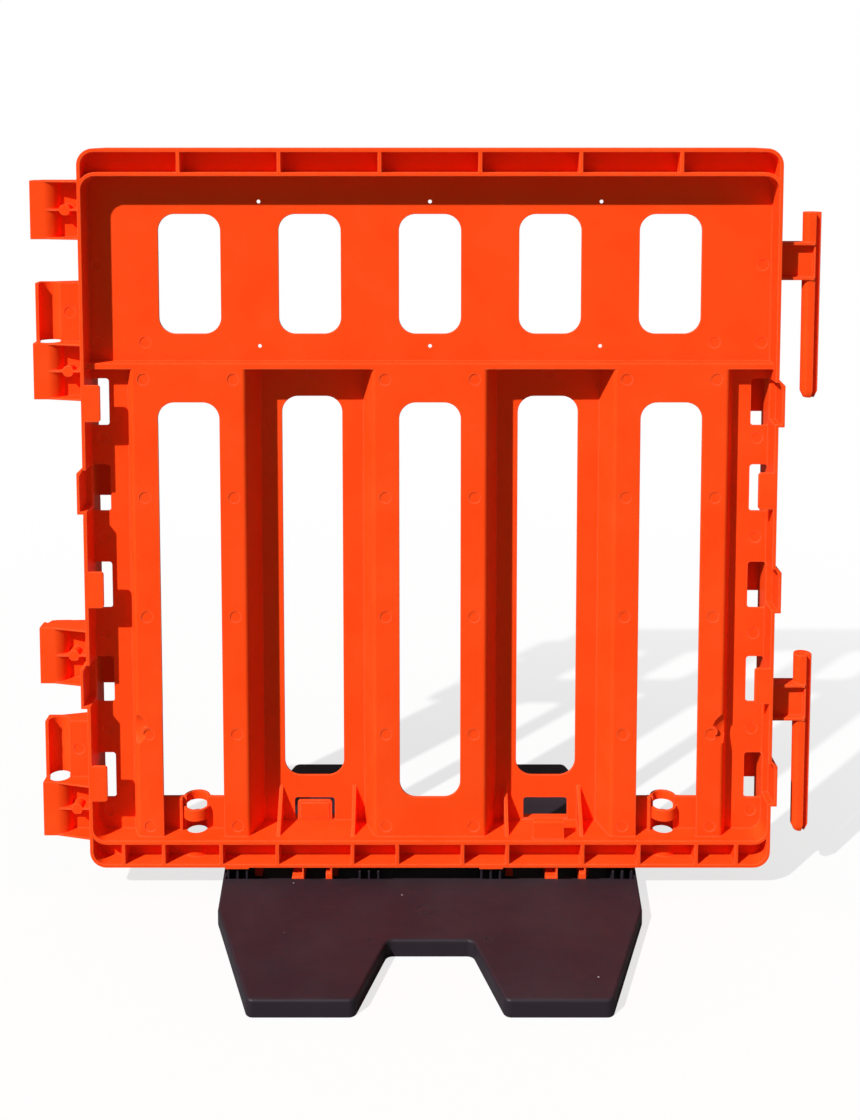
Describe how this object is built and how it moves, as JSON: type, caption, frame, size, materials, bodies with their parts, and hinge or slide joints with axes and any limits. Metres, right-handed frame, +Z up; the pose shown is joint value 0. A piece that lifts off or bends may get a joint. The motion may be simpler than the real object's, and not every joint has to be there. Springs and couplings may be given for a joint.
{
  "type": "pedestrian barrier panel",
  "caption": "Moulded plastic pedestrian barrier panel with slotted pales and ribbed rails, hinge sockets and pins for linking side by side, standing on a flat moulded foot.",
  "frame": {"origin": "centre of the foot's underside, on the ground", "axes": "+X along the panel towards the hinge pins, +Y from the ribbed front to the back, +Z up"},
  "size_m": [1.0385, 0.58, 1],
  "materials": {
    "panel_plastic": "signal orange injection moulding, satin, with a slight moulded grain",
    "foot_plastic": "dark brown black recycled plastic, dull, scuffed and dusty on top"
  },
  "bodies": {
    "foot": {"foot_plate": "foot_plastic", "saddle_ribs": "foot_plastic"},
    "panel": {"bottom_rail": "panel_plastic", "top_rail": "panel_plastic", "left_stile": "panel_plastic", "right_stile": "panel_plastic", "sign_board": "panel_plastic", "mid_ledge": "panel_plastic", "pale_1": "panel_plastic", "pale_2": "panel_plastic", "pale_3": "panel_plastic", "pale_4": "panel_plastic", "pale_5": "panel_plastic", "post_socket_left": "panel_plastic", "post_socket_right": "panel_plastic", "floor_gussets": "panel_plastic", "stop_block": "panel_plastic", "lock_lugs_left": "panel_plastic", "lock_lugs_right": "panel_plastic", "lower_socket_low": "panel_plastic", "lower_socket_mid": "panel_plastic", "lower_socket_top": "panel_plastic", "upper_socket_low": "panel_plastic", "upper_socket_mid": "panel_plastic", "upper_socket_top": "panel_plastic", "lower_pin_arm": "panel_plastic", "lower_pin": "panel_plastic", "upper_pin_arm": "panel_plastic", "upper_pin": "panel_plastic"},
    "latch": {"latch_tongue": "panel_plastic"}
  },
  "joints": [
    {"name": "panel_lift", "type": "slide", "parent": "foot", "child": "panel", "axis": [0, 0, 1], "range_m": [0, 0.06]},
    {"name": "latch_flex", "type": "hinge", "parent": "panel", "child": "latch", "pos_m": [-0.159, 0.022, 0.0755], "axis": [-1, 0, 0], "range_deg": [0, 8], "stiffness_Nm_per_rad": 0.5}
  ]
}
